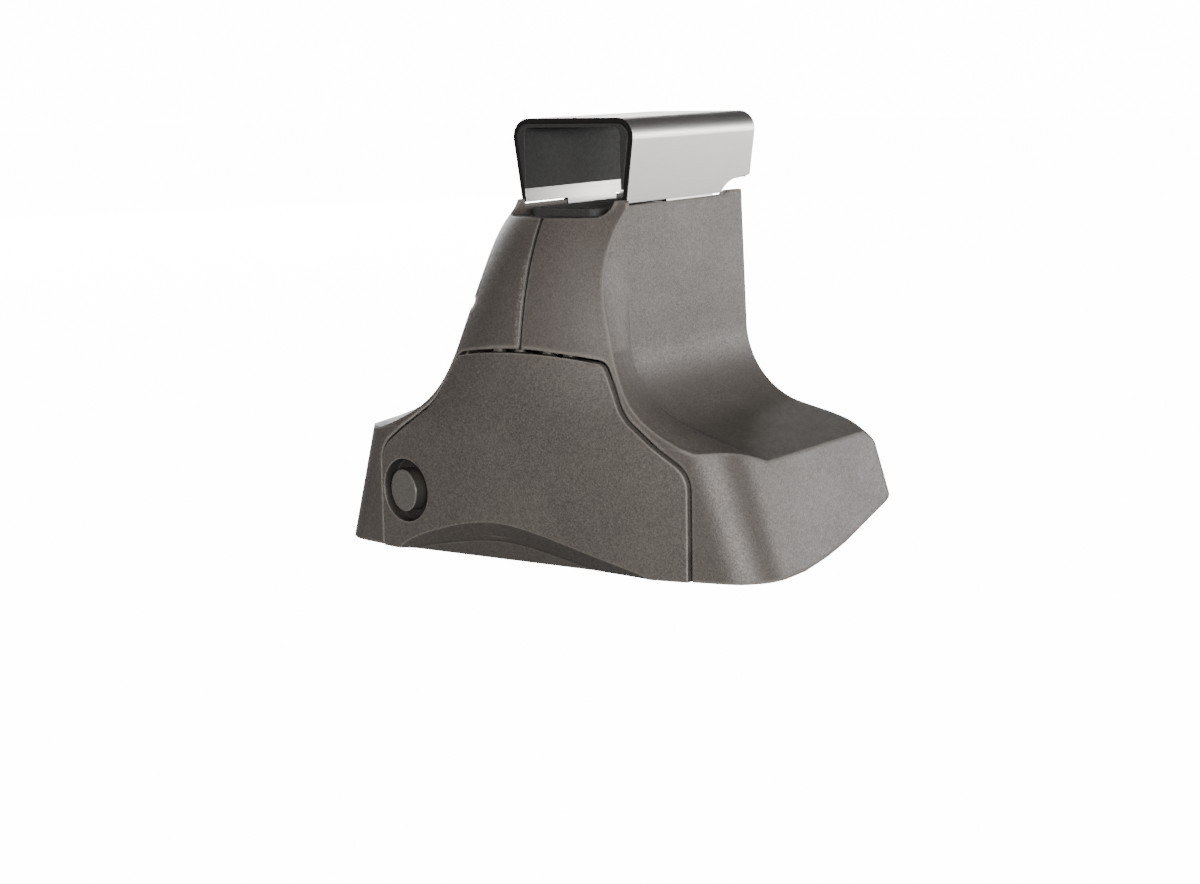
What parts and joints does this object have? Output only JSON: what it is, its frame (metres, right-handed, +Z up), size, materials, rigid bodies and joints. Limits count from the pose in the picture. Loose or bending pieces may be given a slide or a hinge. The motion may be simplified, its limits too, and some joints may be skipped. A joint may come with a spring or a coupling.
{
  "type": "roof bar foot",
  "caption": "Foot that clamps a rectangular roof bar on a car roof: a flared moulded housing with a hinged front cover and lock, a steel strap over the bar, and a screw-driven clamping lever.",
  "frame": {"origin": "centre of the rectangular channel that holds the load bar", "axes": "+Z up, +Y along the load bar towards the middle of the roof, +X along the car; the front cover faces -Y"},
  "size_m": [0.1444, 0.098, 0.1208],
  "materials": {
    "housing_plastic": "fine grain moulded plastic, dark warm grey",
    "cover_plastic": "coarser grain moulded plastic, dark warm grey",
    "pad_rubber": "matt black rubber",
    "liner_rubber": "matt black rubber",
    "strap_steel": "satin stainless sheet",
    "zinc_steel": "zinc plated steel",
    "bolt_steel": "zinc plated fasteners",
    "pin_steel": "ground steel pin",
    "clip_steel": "blackened spring steel",
    "lock_metal": "die-cast zinc, painted dark grey"
  },
  "bodies": {
    "foot": {"housing_left": "housing_plastic", "housing_right": "housing_plastic", "housing_screws": "zinc_steel", "cradle_pad": "pad_rubber", "steel_frame": "zinc_steel", "base_plate": "zinc_steel", "frame_bolts": "bolt_steel", "base_screws": "bolt_steel", "pivot_pin": "pin_steel", "pivot_clips": "clip_steel", "screw_washer": "zinc_steel", "hinge_pins": "pin_steel"},
    "strap": {"bar_strap": "strap_steel", "strap_liner": "liner_rubber", "bridge_pin": "pin_steel", "bridge_clips": "clip_steel"},
    "lever": {"lever_plates": "zinc_steel", "lever_spacer": "zinc_steel", "bracket_pin": "pin_steel"},
    "nut": {"trunnion_nut": "zinc_steel"},
    "screw": {"tension_screw": "bolt_steel", "screw_clip": "clip_steel"},
    "cover": {"front_cover": "cover_plastic"},
    "lock": {"lock_plug": "lock_metal", "lock_tongue": "zinc_steel", "tongue_screw": "bolt_steel"}
  },
  "joints": [
    {"name": "screw_spin", "type": "hinge", "parent": "foot", "child": "screw", "pos_m": [0, -0.05, -0.0934], "axis": [0, -1, 0], "range_deg": [0, 1340]},
    {"name": "lever_swing", "type": "hinge", "parent": "foot", "child": "lever", "pos_m": [0, -0.012, -0.072], "axis": [1, 0, 0], "range_deg": [0, 12.01]},
    {"name": "strap_lift", "type": "slide", "parent": "foot", "child": "strap", "axis": [0, 0, 1], "range_m": [0, 0.0033]},
    {"name": "nut_level", "type": "hinge", "parent": "lever", "child": "nut", "pos_m": [0, -0.015, -0.0934], "axis": [1, 0, 0], "range_deg": [-12.02, 0]},
    {"name": "cover_hinge", "type": "hinge", "parent": "foot", "child": "cover", "pos_m": [0, -0.0584, -0.0518], "axis": [-1, 0, 0], "range_deg": [0, 65]},
    {"name": "lock_turn", "type": "hinge", "parent": "cover", "child": "lock", "pos_m": [-0.042, -0.0615, -0.09], "axis": [-0.2756, -0.9613, 0], "range_deg": [0, 90]}
  ],
  "couplings": [
    {"joint": "screw_spin", "follows": "lever_swing", "ratio": 111.33},
    {"joint": "nut_level", "follows": "lever_swing", "ratio": -1},
    {"joint": "strap_lift", "follows": "lever_swing", "m_per_rad": 0.015609}
  ]
}
